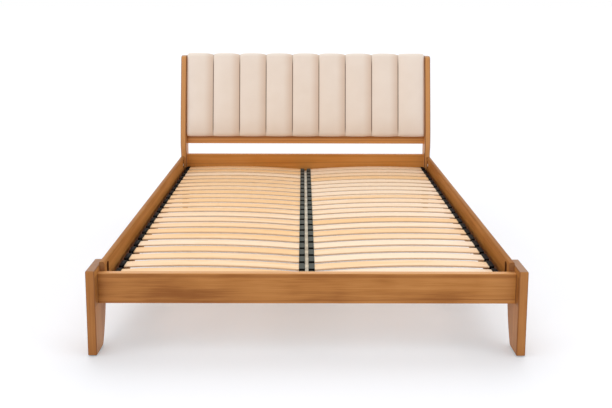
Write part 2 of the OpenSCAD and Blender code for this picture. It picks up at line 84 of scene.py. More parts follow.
class BedSizes(bpy.types.PropertyGroup):
    """Sizes of the pieces that replace the plain solids"""
    leg_top_depth: length("Leg top", "Depth of a foot leg at its top", 0.150)
    leg_belly: length("Leg belly", "Depth that the back of a foot leg is drawn out to", 0.190)
    leg_sole: length("Leg sole", "Depth of a foot leg at its sole", 0.098)
    belly_height: length("Belly height", "Height at which the posts stand furthest forward", 0.448)
    belly_out: length("Belly", "How far the belly stands in front of the rail seat", 0.010)
    post_depth: length("Post depth", "Depth of a post at its belly", 0.106)
    post_lean: length("Post lean", "How far a post leans back from its belly to its top", 0.094)
    post_top_depth: length("Post top", "Depth of a post at its top", 0.078)
    post_sole: length("Post sole", "Depth of a post at its sole", 0.082)
    plank_edge: length("Plank edge", "Rounding of the legs' and posts' edges", 0.005)
    rail_edge: length("Rail edge", "Rounding of the rails' edges", 0.003)
    rail_top_edge: length("Side rail top", "Rounding of the side rails' top edges beside the mattress",
                          0.009)
    pocket_width: length("Pocket width", "Width of a bolt pocket", 0.030)
    pocket_height: length("Pocket height", "Height of a bolt pocket", 0.062)
    pocket_end: length("Pocket place", "Distance of a bolt pocket from the rail's end", 0.048)
    pocket_depth: length("Pocket depth", "Depth of a bolt pocket", 0.018)
    slat_thickness: length("Slat thickness", "Thickness of a slat", 0.008)
    slat_bow: length("Slat bow", "Height of a slat above its chord", 0.013)
    slat_corner: length("Slat corner", "Rounding of a slat's corners in plan", 0.009)
    cap_bite: length("Slat in cap", "How far a slat goes into its cap", 0.019)
    cap_height: length("Cap height", "Height of a cap", 0.017)
    cap_width: length("Cap width", "Width of a cap along the bed", 0.070)
    side_cap_round: length("Side cap round", "Rounding of a side cap's closed end in plan", 0.010)
    centre_cap_round: length("Centre cap round", "Rounding of a centre cap's closed end in plan", 0.003)
    ledge_planed: length("Ledge planing", "How far a ledge is planed off below its inner edge", 0.030)
    channels: IntProperty(name="Channels", description="Vertical channels of the pad", default=9, min=3)
    lean: FloatProperty(name="Lean", description="Lean of the padded panel", default=math.radians(9.5),
                        subtype="ANGLE")
    panel_setback: length("Panel set-back", "Panel plane behind the lower cross rail's front", 0.010)
    panel_low: length("Panel low", "Height of the padded panel's hinge line", 0.446)
    pad_bottom: length("Pad bottom", "Lower edge of the pad along the lean", 0.046)
    pad_height: length("Pad height", "Height of the pad along the lean", 0.562)
    pad_crown: length("Pad crown", "Thickness of the pad on a channel", 0.036)
    pad_seam: length("Pad seam", "Thickness of the pad in a seam", 0.014)
    pad_edge: length("Pad edge", "Rounding of the pad's upper and lower edge", 0.026)
    pad_scallop: length("Scallop", "Dip of the top edge at each seam", 0.012)
    board: length("Board", "Thickness of the board behind the pad", 0.012)


class BedColours(bpy.types.PropertyGroup):
    """Colours of the finishes"""
    stain: paint("Stain", "Brown stain on the planks", 171, 111, 50)
    stain_dark: paint("Dark stain", "Stain in the dense grain", 139, 82, 28)
    # Darker colour for rounded edges, and painted shade in corners, recesses and pockets.
    stain_deep: paint("Deep stain", "Stain that gathers on edges, in corners and in pockets", 84, 38, 10)
    stain_end: paint("End grain", "Stain on sawn ends", 124, 92, 70)
    stain_light: paint("Light stain", "Stain on the open grain", 193, 134, 72)
    stain_warm: paint("Warm stain", "Stain mixed into that of the cross rails", 204, 128, 42)
    stain_pale: paint("Pale stain", "Stain mixed into that of the posts", 238, 174, 108)
    # Painted highlight on the foot rail's upper side.
    stain_rubbed: paint("Rubbed stain", "Stain on the foot rail's upper side", 224, 166, 108)
    raw_wood: paint("Plain wood", "Unstained timber and board", 228, 200, 160)
    slat: paint("Slat", "Birch laminate", 252, 226, 196)
    slat_warm: paint("Warm slat", "Warmer birch laminate", 247, 200, 142)
    slat_knot: paint("Knot", "Small knots in the slats", 190, 136, 84)
    ply_dark: paint("Dark ply", "Every other ply on a slat's long sides", 206, 168, 128)
    ply_pale: paint("Pale ply", "The plies between the dark ones", 238, 210, 176)
    beam: paint("Beam", "Pale laminate of the centre beam", 255, 246, 228)
    plastic: paint("Centre caps", "Plastic of the caps over the beam", 6, 7, 6)
    plastic_dark: paint("Side caps", "Plastic of the caps beside the rails", 10, 11, 13)
    # Dust and a painted sheen on the tops of the centre caps.
    dust_and_sheen: paint("Dust", "Dust on the tops of the centre caps", 78, 82, 77)
    glide: paint("Glides", "Plastic of the floor glides", 70, 66, 62)
    fabric: paint("Fabric", "Upholstery fabric", 239, 227, 215)
    # Painted shade on the right side of each channel and towards the pad's lower edge.
    fabric_painted_shade: paint("Flank", "Fabric where a channel turns down to its right", 196, 156, 122)
    # Painted shade in the seams.
    seam_painted_shade: paint("Seam", "Fabric in the seams", 92, 62, 44)
    zinc: paint("Zinc", "Zinc-plated steel", 190, 190, 192)
    bright_zinc: paint("Bed bolts", "Bright zinc of the bed bolts", 226, 225, 220)
    brass: paint("Inserts", "Threaded inserts", 198, 166, 96)
    paper: paint("Floor", "Pale paper under the bed", 247, 240, 241)


# Modelling by hand

def make_active(*objs):
    bpy.ops.object.select_all(action="DESELECT")
    for obj in objs:
        obj.select_set(True)
    bpy.context.view_layer.objects.active = objs[0]


def named(name):
    obj = bpy.context.object
    obj.name = obj.data.name = name
    return obj


def added(name, operator, **settings):
    """Adds a shape, a lamp or the camera, with nothing else selected."""
    bpy.ops.object.select_all(action="DESELECT")
    operator(**settings)
    return named(name)


@contextmanager
def editing(obj, kind, test):
    """Edit mode with only the vertices, edges or faces that pass the test selected."""
    make_active(obj)
    parts = {"VERT": obj.data.vertices, "EDGE": obj.data.edges, "FACE": obj.data.polygons}
    for group in parts.values():
        group.foreach_set("select", [False] * len(group))
    bpy.context.tool_settings.mesh_select_mode = [kind == k for k in parts]
    for part in parts[kind]:
        part.select = test(part)
    bpy.ops.object.mode_set(mode="EDIT")
    yield
    bpy.ops.object.mode_set(mode="OBJECT")


def ends(obj, edge):
    """The places of an edge's two points."""
    return [obj.data.vertices[i].co for i in edge.vertices]


def runs_along(obj, axis):
    """A test for edges that run along an axis."""
    def test(edge):
        a, b = ends(obj, edge)
        return abs((b - a).normalized()[axis]) > 0.999
    return test


def cuboid(name, low, high):
    low, high = Vector(low), Vector(high)
    obj = added(name, bpy.ops.mesh.primitive_cube_add, size=1, location=(low + high) / 2,
                scale=high - low)
    bpy.ops.object.transform_apply(location=True, rotation=True, scale=True)
    return obj


def prism(name, points, step):
    """A filled face through the given points in space, drawn out into a solid."""
    obj = added(name, bpy.ops.mesh.primitive_circle_add, vertices=len(points), fill_type="NGON")
    for vertex, point in zip(obj.data.vertices, points):
        vertex.co = point
    with editing(obj, "FACE", lambda face: True):
        bpy.ops.mesh.extrude_region_move(TRANSFORM_OT_translate={"value": step})
        bpy.ops.mesh.select_all(action="SELECT")
        bpy.ops.mesh.normals_make_consistent(inside=False)
    return obj


def bevel(obj, test, width, segments, clamp=False):
    """Bevels the edges that pass the test."""
    with editing(obj, "EDGE", test):
        bpy.ops.mesh.bevel(offset=width, segments=segments, affect="EDGES", clamp_overlap=clamp)


def cut_edges(obj, axis, cuts):
    """Cuts the edges that run along an axis, and the faces between them."""
    with editing(obj, "EDGE", runs_along(obj, axis)):
        bpy.ops.mesh.subdivide(number_cuts=cuts)


def modify(obj, kind, **settings):
    """Adds one modifier and applies it."""
    make_active(obj)
    modifier = obj.modifiers.new(kind.lower(), kind)
    for key, value in settings.items():
        setattr(modifier, key, value)
    bpy.ops.object.modifier_apply(modifier=modifier.name)


def round_edges(obj, width, segments=3, angle=50):
    modify(obj, "BEVEL", width=width, segments=segments, limit_method="ANGLE",
           angle_limit=math.radians(angle), miter_outer="MITER_ARC")


def smooth(obj, angle=40):
    make_active(obj)
    bpy.ops.object.shade_smooth_by_angle(angle=math.radians(angle))
    modify(obj, "WEIGHTED_NORMAL", keep_sharp=True, weight=50)


def mark_edges(obj, flat_sides=AXES):
    """Stores in edge_wear how far each point lies on a rounded edge, between the sides that are flat."""
    spread = 2.4  # makes the wear reach the whole rounding
    values = []
    for v in obj.data.vertices:
        facing = max(abs(v.normal @ Vector(side)) for side in flat_sides)
        other = math.sqrt(max(0.0, 1 - facing ** 2))
        values.append(min(1.0, spread * min(facing, other)))
    store(obj, "edge_wear", values)


def store(obj, name, values):
    """Stores one number for each point of the mesh, for the materials."""
    attribute = obj.data.attributes.new(name, "FLOAT", "POINT")
    attribute.data.foreach_set("value", values)


def cut_out(obj, cutter):
    modify(obj, "BOOLEAN", operation="DIFFERENCE", solver="EXACT", object=cutter)
    bpy.data.objects.remove(cutter)


def join(objs, name):
    make_active(*objs)
    bpy.ops.object.join()
    return named(name)


def copied(obj, name, shift=(0, 0, 0), mirror=False):
    """A copy with its own mesh, moved in the mesh, and mirrored about X = 0 where asked."""
    mesh = obj.data.copy()
    mesh.transform(Matrix.Translation(shift))
    if mirror:
        mesh.transform(Matrix.Scale(-1, 4, (1, 0, 0)))
        mesh.flip_normals()
    new = bpy.data.objects.new(name, mesh)
    bpy.context.collection.objects.link(new)
    return new


def keep(obj, finish, slot, *nodes):
    """Gives a finished piece its finish and its body, and hides the nodes that it stands for. slot is
    not used.
    """
    obj.data.materials.clear()
    obj.data.materials.append(finish)
    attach(obj, BODY)
    if nodes:
        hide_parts(*nodes)


def stain(obj, axis, colours, **looks):
    """Stains a finished piece, whose name is a word for its form and then its node's name."""
    node = obj.name.split("_", 1)[1]
    keep(obj, stained_wood("stain_" + node, axis, colours, **looks), "stained_wood", node)


def stain_pair(right, axis, colours, right_looks, left_looks, **looks):
    """Stains a right-hand piece and its mirrored copy."""
    left = copied(right, right.name.replace("right", "left"), mirror=True)
    for obj, own in ((right, right_looks), (left, left_looks)):
        stain(obj, axis, colours, **looks, **own)


def bend(*points, steps):
    """Points along the Bezier curve with the given control points, both ends included."""
    out = []
    for i in range(steps + 1):
        level = [Vector(p) for p in points]
        while len(level) > 1:
            level = [a.lerp(b, i / steps) for a, b in zip(level, level[1:])]
        out.append(level[0])
    return out


def corner(before, point, after, radius, steps=5):
    """A rounded corner of an outline."""
    start = point + radius * (before - point).normalized()
    end = point + radius * (after - point).normalized()
    return bend(start, point, end, steps=steps)


def tidy_outline(points):
    """Drops points that lie on the one before them."""
    apart = 0.0004
    out = []
    for p in points:
        if not out or (p - out[-1]).length > apart:
            out.append(p)
    if (out[0] - out[-1]).length < apart:
        out.pop()
    return out


def leaning(s):
    """Takes the padded panel's own places to the bed's: Y = 0 on the board's back, Z up along it."""
    return (Matrix.Translation((0, CROSS_Y + s.panel_setback, s.panel_low))
            @ Matrix.Rotation(-s.lean, 4, "X"))


def slat_rows():
    """The slats' nodes in order, each with the middle of its row."""
    rows = []
    for node in sorted(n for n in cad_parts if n.startswith("slat_pair_")):
        low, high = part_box(node)
        rows.append((node, (low.y + high.y) / 2))
    return rows


# Shader nodes

class Value:
    """A shader socket that takes part in arithmetic. Each operation adds its Math node."""

    def __init__(self, finish, socket):
        self.finish = finish
        self.socket = socket

    def maths(self, operation, *others):
        return self.finish.node("ShaderNodeMath", dict(enumerate((self, *others))), operation=operation)

    def __add__(self, other):
        return self.maths("ADD", other)

    def __sub__(self, other):
        return self.maths("SUBTRACT", other)

    def __mul__(self, other):
        return self.maths("MULTIPLY", other)

    def __rsub__(self, other):
        return self.finish.node("ShaderNodeMath", {0: other, 1: self}, operation="SUBTRACT")

    __radd__ = __add__
    __rmul__ = __mul__

    def absolute(self):
        return self.maths("ABSOLUTE")

    def pingpong(self, size):
        """Rises from 0 to size and falls back, over and over."""
        return self.maths("PINGPONG", size)


class Finish:
    """The nodes of one material, or of the world, added in code."""

    def __init__(self, material):
        self.material = material
        material.use_nodes = True
        self.tree = material.node_tree
        self.tree.nodes.clear()
        self.coords = self.node("ShaderNodeTexCoord", out="Object")

    def node(self, kind, inputs=None, out=0, stops=None, **settings):
        node = self.tree.nodes.new(kind)
        for key, value in settings.items():
            setattr(node, key, value)
        if stops:
            ramp = node.color_ramp
            while len(ramp.elements) < len(stops):
                ramp.elements.new(1.0)
            for element, (place, tone) in zip(ramp.elements, stops):
                element.position = place
                element.color = tone
        for key, value in (inputs or {}).items():
            if isinstance(value, Value):
                self.tree.links.new(value.socket, node.inputs[key])
            else:
                node.inputs[key].default_value = value
        return Value(self, node.outputs[out])

    def attribute(self, name):
        return self.node("ShaderNodeAttribute", attribute_name=name, out="Fac")

    def share(self, vector, axis):
        """One of a vector's parts: X, Y or Z."""
        return self.node("ShaderNodeSeparateXYZ", {0: vector}, out=axis)

    def facing(self, axis):
        """How far the surface faces along X, Y or Z."""
        return self.share(self.node("ShaderNodeNewGeometry", out="Normal"), axis)

    def scaled(self, scale, shift=(0, 0, 0), vector=None):
        return self.node("ShaderNodeMapping",
                         {"Vector": vector or self.coords, "Location": shift, "Scale": scale})

    def noise(self, vector, scale=1.0, detail=2.0, roughness=0.5, distortion=0.0):
        return self.node("ShaderNodeTexNoise", {"Vector": vector, "Scale": scale, "Detail": detail,
                                                "Roughness": roughness, "Distortion": distortion})

    def grain(self, axis, lengthwise, across, shift=(0, 0, 0), **settings):
        """Noise that is drawn out along one axis."""
        scale = [across] * 3
        scale[axis] = lengthwise
        return self.noise(self.scaled(scale, shift), **settings)

    def ramp(self, factor, *stops):
        return self.node("ShaderNodeValToRGB", {0: factor}, stops=stops)

    def band(self, value, low, high):
        """0 below low, 1 above high, and smooth between them."""
        return self.node("ShaderNodeMapRange", {"Value": value, "From Min": low, "From Max": high},
                         interpolation_type="SMOOTHSTEP")

    def within(self, places, low, high, soft):
        """1 inside a box and 0 outside it."""
        inside = 1.0
        for place, a, b in zip(places, low, high):
            inside = self.band(place, a - soft, a + soft) * self.band(place, b + soft, b - soft) * inside
        return inside

    def mix(self, factor, a, b):
        return self.node("ShaderNodeMix", {0: factor, 6: a, 7: b}, out=2, data_type="RGBA")

    def bump(self, height, distance, strength):
        return self.node("ShaderNodeBump", {"Height": height, "Distance": distance,
                                            "Strength": strength})

    def surface(self, **sockets):
        inputs = {key.replace("_", " "): value for key, value in sockets.items()}
        self.output(self.node("ShaderNodeBsdfPrincipled", inputs))
        return self.material

    def output(self, shader, kind="Material"):
        node = self.tree.nodes.new("ShaderNodeOutput" + kind)
        self.tree.links.new(shader.socket, node.inputs["Surface"])


# Finishes

def tinted(tone, red, green, blue):
    """A colour with its linear red, green and blue multiplied."""
    return tone[0] * red, tone[1] * green, tone[2] * blue, 1.0


def stained_wood(name, axis, colours, seed, lift=0.0, figure=1.0, warmth=0.0, pale=0.0, shine=0.25,
                 drift=0.0, side_lift=0.0, rubbed=0.0, dark_edges=0.0, veins=(), pooled=()):
    """Lacquered plank with growth bands, streaks, short pores and worn edges along one axis.

    lift makes it paler, figure livelier, drift paler along the grain, side_lift paler on its sides, and
    rubbed paints a highlight on the upward-facing sides. dark_edges darkens the rounded edges. A dark
    band is (height, rise along X, half width, strength): darker grain, except the one under the pad on
    the upper rail, which is painted shadow. pooled holds boxes of painted shade, each as (low, high,
    strength, softness)."""
    f = Finish(bpy.data.materials.new(name))
    shift = [seed * k for k in (1.3, 2.1, 0.7)]
    bands = f.grain(axis, 0.9, 15.0, shift, distortion=0.6)
    rings = f.grain(axis, 1.6, 70.0, shift, distortion=0.3)
    streaks = f.grain(axis, 6.0, 240.0, shift, detail=3.0, roughness=0.6)
    pores = f.grain(axis, 70.0, 1500.0, shift, roughness=0.7)
    clouds = f.grain(axis, 4.0, 7.0, shift)
    x, y, z = (f.share(f.coords, letter) for letter in "XYZ")

    figure_mean, middle_tone = 0.985, 0.495
    tone = bands * 0.60 + rings * 0.50 + streaks * 0.42 + clouds * 0.45
    tone = (tone - figure_mean) * figure + (lift + middle_tone)
    if side_lift:
        tone = tone + f.facing("X").absolute() * side_lift
    if drift:
        tone = tone + (x, y, z)[axis] * drift
    stain = f.ramp(tone, (0.18, colours.stain_dark), (0.5, colours.stain), (0.85, colours.stain_light))
    stain = f.mix(f.band(pores, 0.58, 0.78) * 0.35, stain, colours.stain_dark)
    for amount, other in ((warmth, colours.stain_warm), (pale, colours.stain_pale)):
        if amount:
            stain = f.mix(amount, stain, other)
    # Painted highlight on the upward-facing sides and the rounded top edges.
    if rubbed:
        stain = f.mix(f.band(f.facing("Z"), 0.3, 0.9) * rubbed, stain, colours.stain_rubbed)
    for level, rise, half, strength in veins:
        away = (z - level - x * rise + (clouds - 0.5) * 0.006).absolute()
        vein = (1 - f.band(away, half * 0.3, half)) * (streaks * 0.6 + 0.6)
        stain = f.mix(vein * strength, stain, colours.stain_dark)

    edge = f.attribute("edge_wear")
    # Darker on the rounded edges where dark_edges is given; elsewhere they are worn paler in patches.
    if dark_edges:
        stain = f.mix(edge * (bands * 0.6 + 0.7) * dark_edges, stain, colours.stain_deep)
    else:
        worn = edge * f.band(clouds * 0.6 + streaks * 0.4, 0.35, 0.65)
        stain = f.mix(worn * 0.35, stain, colours.stain_light)
    sawn = f.band(f.facing("XYZ"[axis]).absolute(), 0.75, 0.95)
    stain = f.mix(sawn * 0.5, stain, colours.stain_end)
    # Painted shade in the given boxes: corners, recesses and pockets.
    for low, high, strength, soft in pooled:
        inside = f.within((x.absolute(), y, z), low, high, soft)
        stain = f.mix(inside * strength, stain, colours.stain_deep)
    return f.surface(Base_Color=stain, Roughness=streaks * 0.12 + pores * 0.08 + 0.32,
                     Normal=f.bump(pores * 0.6 + streaks * 0.4, 0.0003, 0.35), Specular_IOR_Level=shine)


def plain_wood(name, axis, tone):
    """Sanded timber without stain."""
    f = Finish(bpy.data.materials.new(name))
    bands = f.grain(axis, 1.2, 34.0, detail=3.0, distortion=0.6)
    fibres = f.grain(axis, 30.0, 900.0)
    figure = f.band(bands * 0.8 + fibres * 0.25, 0.36, 0.72)
    return f.surface(Base_Color=f.mix(figure, tinted(tone, 0.84, 0.76, 0.66), tone),
                     Roughness=fibres * 0.2 + 0.55, Normal=f.bump(fibres, 0.0004, 0.4),
                     Specular_IOR_Level=0.3)


def birch_laminate(colours):
    """Slat veneer over plies. The attributes slat_tone and slat_depth come from the slats' meshes."""
    f = Finish(bpy.data.materials.new("birch_laminate"))
    plies = 7.0
    tone = f.attribute("slat_tone")
    offset = f.node("ShaderNodeCombineXYZ", {"X": tone * 7.3, "Y": tone * 31.7, "Z": tone * 3.1})
    place = f.node("ShaderNodeVectorMath", {0: f.coords, 1: offset}, operation="ADD")
    figure = f.noise(f.scaled((2.6, 34.0, 3.0), vector=place), detail=3.0, distortion=1.2)
    fibres = f.noise(f.scaled((14.0, 620.0, 40.0), vector=place), detail=3.0, roughness=0.65)
    knots = f.band(f.noise(f.scaled((5.5, 24.0, 2.0), vector=place), detail=1.0), 0.74, 0.80)
    warm = f.band(tone * 0.62 + figure * 0.75 + fibres * 0.15, 0.45, 1.08)
    veneer = f.mix(warm, colours.slat, colours.slat_warm)
    veneer = f.mix(knots * 0.3, veneer, colours.slat_knot)
    ply = f.band((f.attribute("slat_depth") * plies).pingpong(1.0), 0.3, 0.7)
    side = f.band(f.facing("Y").absolute(), 0.6, 0.85)
    wood = f.mix(side, veneer, f.mix(ply, colours.ply_dark, colours.ply_pale))
    return f.surface(Base_Color=wood, Roughness=fibres * 0.18 + 0.36,
                     Normal=f.bump(fibres, 0.0003, 0.3), Specular_IOR_Level=0.4)


def moulded_plastic(name, tone, shine=0.5, roughness=0.28, dust_and_sheen=None, first=0.0, pitch=1.0):
    """Grained plastic. Dust and a painted sheen grey the tops of a row of caps, but not their rims."""
    f = Finish(bpy.data.materials.new(name))
    grain = f.noise(f.coords, scale=900.0)
    scuffs = f.noise(f.coords, scale=60.0, detail=3.0)
    shade = f.mix(f.band(scuffs, 0.45, 0.75) * 0.25, tone, tinted(tone, 1.7, 1.7, 1.7))
    if dust_and_sheen:
        rim, inside_rim = 0.0335, 0.0300
        away = (f.share(f.coords, "Y") - first).pingpong(pitch / 2)
        crown = f.band(f.facing("Z"), 0.5, 0.9) * f.band(away, rim, inside_rim)
        shade = f.mix(crown * (scuffs * 0.4 + 0.8), shade, dust_and_sheen)
    return f.surface(Base_Color=shade, Roughness=scuffs * 0.15 + roughness,
                     Normal=f.bump(grain, 0.0002, 0.25), Specular_IOR_Level=shine)


def metal(name, tone, roughness):
    """Plated steel with a fine spangle."""
    f = Finish(bpy.data.materials.new(name))
    spangle = f.node("ShaderNodeTexVoronoi", {"Vector": f.coords, "Scale": 240.0}, out="Color")
    level = f.node("ShaderNodeSeparateColor", {0: spangle})
    shade = f.mix(level * 0.3, tone, tinted(tone, 0.7, 0.7, 0.7))
    return f.surface(Base_Color=shade, Metallic=1.0, Roughness=level * 0.12 + roughness)


def upholstery(colours, s):
    """Brushed cover cloth with a fine weave and sewn seams, on the pad's own upright places, with
    painted shade in the seams, on the right side of each channel and towards the lower edge.
    """
    f = Finish(bpy.data.materials.new("upholstery"))
    pitch = (PAD_HIGH.x - PAD_LOW.x) / s.channels
    last_middle, soft = PAD_HIGH.x - pitch / 2, 0.01
    stitch_pitch, threads = 0.0035, 3900.0
    hinge = Vector((0, CROSS_Y + s.panel_setback, s.panel_low))
    upright = f.node("ShaderNodeMapping",
                     {"Vector": f.coords, "Location": hinge, "Rotation": (-s.lean, 0, 0)},
                     vector_type="TEXTURE")
    across, up = (f.share(upright, letter) for letter in "XZ")
    inner = f.band(across.absolute(), last_middle + soft, last_middle - soft)
    from_seam = (across - PAD_LOW.x).pingpong(pitch / 2)
    in_channel = ((across - PAD_LOW.x) * (1 / pitch)).maths("FRACT")
    reach = (f.band(up, s.pad_bottom + 0.010, s.pad_bottom + 0.060)
             * f.band(up, s.pad_height + 0.03, s.pad_height - 0.05))
    # Painted shade in the seams, weaker near the top and bottom.
    crease = (1 - f.band(from_seam, 0.0010, 0.0042)) * inner
    # Painted shade on the right side of each channel and towards the pad's lower edge.
    flank_painted_shade = f.band(in_channel, 0.62, 1.0) * inner
    foot = f.band(up, s.pad_bottom + 0.16, s.pad_bottom)
    stitch = f.band(up.pingpong(stitch_pitch), 0.0006, 0.0012)
    thread = (1 - f.band(from_seam, 0.0006, 0.0012)) * stitch * inner
    weave = (across * threads).maths("SINE") * (up * threads).maths("SINE")
    nap = f.noise(f.coords, scale=9.0)
    fluff = f.noise(f.coords, scale=520.0)
    dull = tinted(colours.fabric, 0.975, 0.965, 0.955)
    shade = f.mix(f.band(nap * 0.8 + fluff * 0.2, 0.3, 0.7), dull, colours.fabric)
    shade = f.mix(foot * 0.22, shade, colours.fabric_painted_shade)
    shade = f.mix(flank_painted_shade * 0.4, shade, colours.fabric_painted_shade)
    shade = f.mix(crease * (reach * 0.65 + 0.25), shade, colours.seam_painted_shade)
    return f.surface(Base_Color=shade, Roughness=0.82 + nap * 0.1,
                     Normal=f.bump(weave * 0.4 + fluff * 0.8 + thread * 2.0, 0.0003, 0.35),
                     Sheen_Weight=0.2, Sheen_Roughness=0.4, Specular_IOR_Level=0.2)


# Operators

class BED_OT_stage(bpy.types.Operator):
    """Puts up the pale floor, the soft lamps and the camera"""
    bl_idname = "bed.stage"
    bl_label = "Stage"

    camera_place = (-0.01767, FOOT_Y - 2.79135, 1.40807)
    pitch, yaw, roll = 0.137, 0.004, 0.003
    focal_pixels, optical_row, sensor = 744.133, 101.654, 36.0
    ambient = 0.47
    floor_glow = 0.14
    glow_tint = (0.5, 1.05, 1.25, 1.0)
    # Azimuth from the camera's side to the right, elevation and width in degrees, and strength
    lamps = (("front_lamp", -20, 12, 40, 0.76), ("left_lamp", -75, 18, 40, 0.48),
             ("right_lamp", 75, 18, 40, 0.56), ("back_lamp", 180, 48, 65, 0.80),
             ("top_lamp", 180, 78, 80, 0.80))

    def execute(self, context):
        scene = context.scene
        scene.view_settings.view_transform = "Standard"
        scene.camera = self.camera()
        self.world(scene)
        self.floor(scene.bed_colours.paper)
        for lamp in self.lamps:
            self.sun(*lamp)
        return {"FINISHED"}

    def camera(self):
        """The camera that was fitted to the photo. Its frame is lowered by the lens shift."""
        camera = added("photo_camera", bpy.ops.object.camera_add, location=self.camera_place)
        camera.matrix_world = (Matrix.Translation(self.camera_place)
                               @ Matrix.Rotation(-self.yaw, 4, "Z")
                               @ Matrix.Rotation(math.pi / 2 - self.pitch, 4, "X")
                               @ Matrix.Rotation(self.roll, 4, "Z"))
        camera.data.sensor_fit = "HORIZONTAL"
        camera.data.sensor_width = self.sensor
        camera.data.lens = self.focal_pixels / PHOTO_WIDTH * self.sensor
        camera.data.shift_y = (self.optical_row - PHOTO_HEIGHT / 2) / PHOTO_WIDTH
        camera.data.clip_end = 200.0
        return camera

    def view_mask(self, f):
        """1 where the camera, a reflection or clear glass shows the surface, else 0."""
        camera, glossy, clear = (f.node("ShaderNodeLightPath", out=f"Is {ray} Ray")
                                 for ray in ("Camera", "Glossy", "Transmission"))
        return camera.maths("MAXIMUM", glossy).maths("MAXIMUM", clear)

    def world(self, scene):
        scene.world = bpy.data.worlds.new("studio")
        f = Finish(scene.world)
        strength = self.view_mask(f) * (1 - self.ambient) + self.ambient
        f.output(f.node("ShaderNodeBackground", {"Color": WHITE, "Strength": strength}), "World")

    def floor(self, tone):
        floor = added("floor", bpy.ops.mesh.primitive_plane_add, size=240)
        f = Finish(bpy.data.materials.new("floor_paper"))
        paper = f.node("ShaderNodeBsdfDiffuse", {"Color": tone})
        glow = f.node("ShaderNodeEmission", {"Color": self.glow_tint, "Strength": self.floor_glow})
        bright = f.node("ShaderNodeAddShader", {0: paper, 1: glow})
        f.output(f.node("ShaderNodeMixShader", {0: self.view_mask(f), 1: paper, 2: bright}))
        floor.data.materials.append(f.material)

    def sun(self, name, azimuth, elevation, width, strength):
        """A lamp far away that shines on the bed from a direction."""
        a, e = math.radians(azimuth), math.radians(elevation)
        place = Vector((math.sin(a) * math.cos(e), -math.cos(a) * math.cos(e), math.sin(e)))
        lamp = added(name, bpy.ops.object.light_add, type="SUN", location=place * 5)
        lamp.rotation_euler = (-place).to_track_quat("-Z", "Y").to_euler()
        lamp.data.angle = math.radians(width)
        lamp.data.energy = strength


class BED_OT_legs_and_posts(bpy.types.Operator):
    """Models the foot legs and the sabre-shaped headboard posts"""
    bl_idname = "bed.legs_and_posts"
    bl_label = "Legs and posts"

    def execute(self, context):
        s, c = context.scene.bed_sizes, context.scene.bed_colours
        leg = self.plank(s, "foot_leg_right", self.leg_outline(s))
        stain_pair(leg, 2, c, {"seed": 1.0, "lift": 0.08, "side_lift": -0.05},
                   {"seed": 1.4, "lift": -0.07, "side_lift": 0.3},
                   shine=0.3, dark_edges=0.6, pooled=self.beside_foot_rail())
        post = self.plank(s, "headboard_post_right", self.post_outline(s))
        stain_pair(post, 2, c, {"seed": 2.0, "lift": 0.26}, {"seed": 2.4, "lift": 0.34},
                   pale=0.6, figure=1.2, dark_edges=1.0)
        return {"FINISHED"}

    def plank(self, s, node, outline):
        """A rounded plank on edge, from its outline seen from the side."""
        low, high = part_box(node)
        obj = prism("plank_" + node, [(low.x, y, z) for y, z in outline], (high.x - low.x, 0, 0))
        round_edges(obj, s.plank_edge, segments=4)
        mark_edges(obj, flat_sides=AXES[:1])
        smooth(obj)
        return obj

    def beside_foot_rail(self):
        """Boxes of painted shade on a leg's inner face: the strip before the foot rail, and the corner
        there.
        """
        low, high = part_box("foot_rail")
        inner, skin = SIDE_HIGH.x, 0.002
        return [((inner - skin, front, low.z + 0.003), (inner + skin, low.y + skin, high.z - 0.002),
                 strength, 0.0012)
                for front, strength in ((FOOT_Y + 0.003, 0.4), (low.y - 0.004, 0.8))]

    def leg_outline(self, s):
        """A leg from its side: upright in front, bellied behind."""
        low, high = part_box("foot_leg_right")
        toe, heel, crown = 0.005, 0.010, 0.008
        front_low, front_high = Vector((FOOT_Y, low.z)), Vector((FOOT_Y, high.z))
        sole, back = Vector((FOOT_Y + s.leg_sole, low.z)), Vector((FOOT_Y + s.leg_top_depth, high.z))
        pull = Vector((FOOT_Y + s.leg_belly, (low.z + high.z) / 2))
        back_low = corner(front_low, sole, pull, heel)
        back_high = corner(pull, back, front_high, crown)
        return tidy_outline(
            corner(front_high, front_low, sole, toe, 4)
            + back_low
            + bend(back_low[-1], pull, back_high[0], steps=32)
            + back_high
            + corner(back, front_high, front_low, crown, 8))

    def post_outline(self, s):
        """A post from its side: it curves forward to its belly above the side rail, then leans back."""
        low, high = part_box("headboard_post_right")
        toe, back_round, front_round = 0.005, 0.014, 0.026
        seat_low, seat_top = Vector((SIDE_HIGH.y, SIDE_LOW.z)), Vector((SIDE_HIGH.y, SIDE_HIGH.z))
        belly = Vector((SIDE_HIGH.y - s.belly_out, s.belly_height))
        back_y = belly.x + s.post_depth
        sole_front, sole_back = Vector((back_y - s.post_sole, low.z)), Vector((back_y, low.z))
        back_belly = Vector((back_y, s.belly_height))
        front_top = Vector((belly.x + s.post_lean, high.z))
        back_top = front_top + Vector((s.post_top_depth, 0))
        third = (high.z - s.belly_height) / 3
        rise = Vector((0, third / 2))
        back_pull = back_top - Vector((0.12, 0.99)) * third
        front_pull = front_top - Vector((0.17, 0.98)) * third
        back_crown = corner(back_pull, back_top, front_top, back_round, 6)
        front_crown = corner(back_top, front_top, front_pull, front_round, 10)
        ease, seat_ease = Vector((0, 0.04)), Vector((0, 0.09))
        shin = sole_front + 0.008 * (seat_low - sole_front).normalized()
        return tidy_outline(
            corner(seat_low, sole_front, sole_back, toe, 4)
            + corner(sole_front, sole_back, back_belly, toe, 4)
            + bend(back_belly, back_belly + rise, back_pull, back_crown[0], steps=24)
            + back_crown
            + front_crown
            + bend(front_crown[-1], front_pull, belly + rise, belly, steps=26)
            + bend(belly, belly - ease, seat_top + ease, seat_top, steps=12)
            + bend(seat_low, seat_low - seat_ease, shin, steps=12))


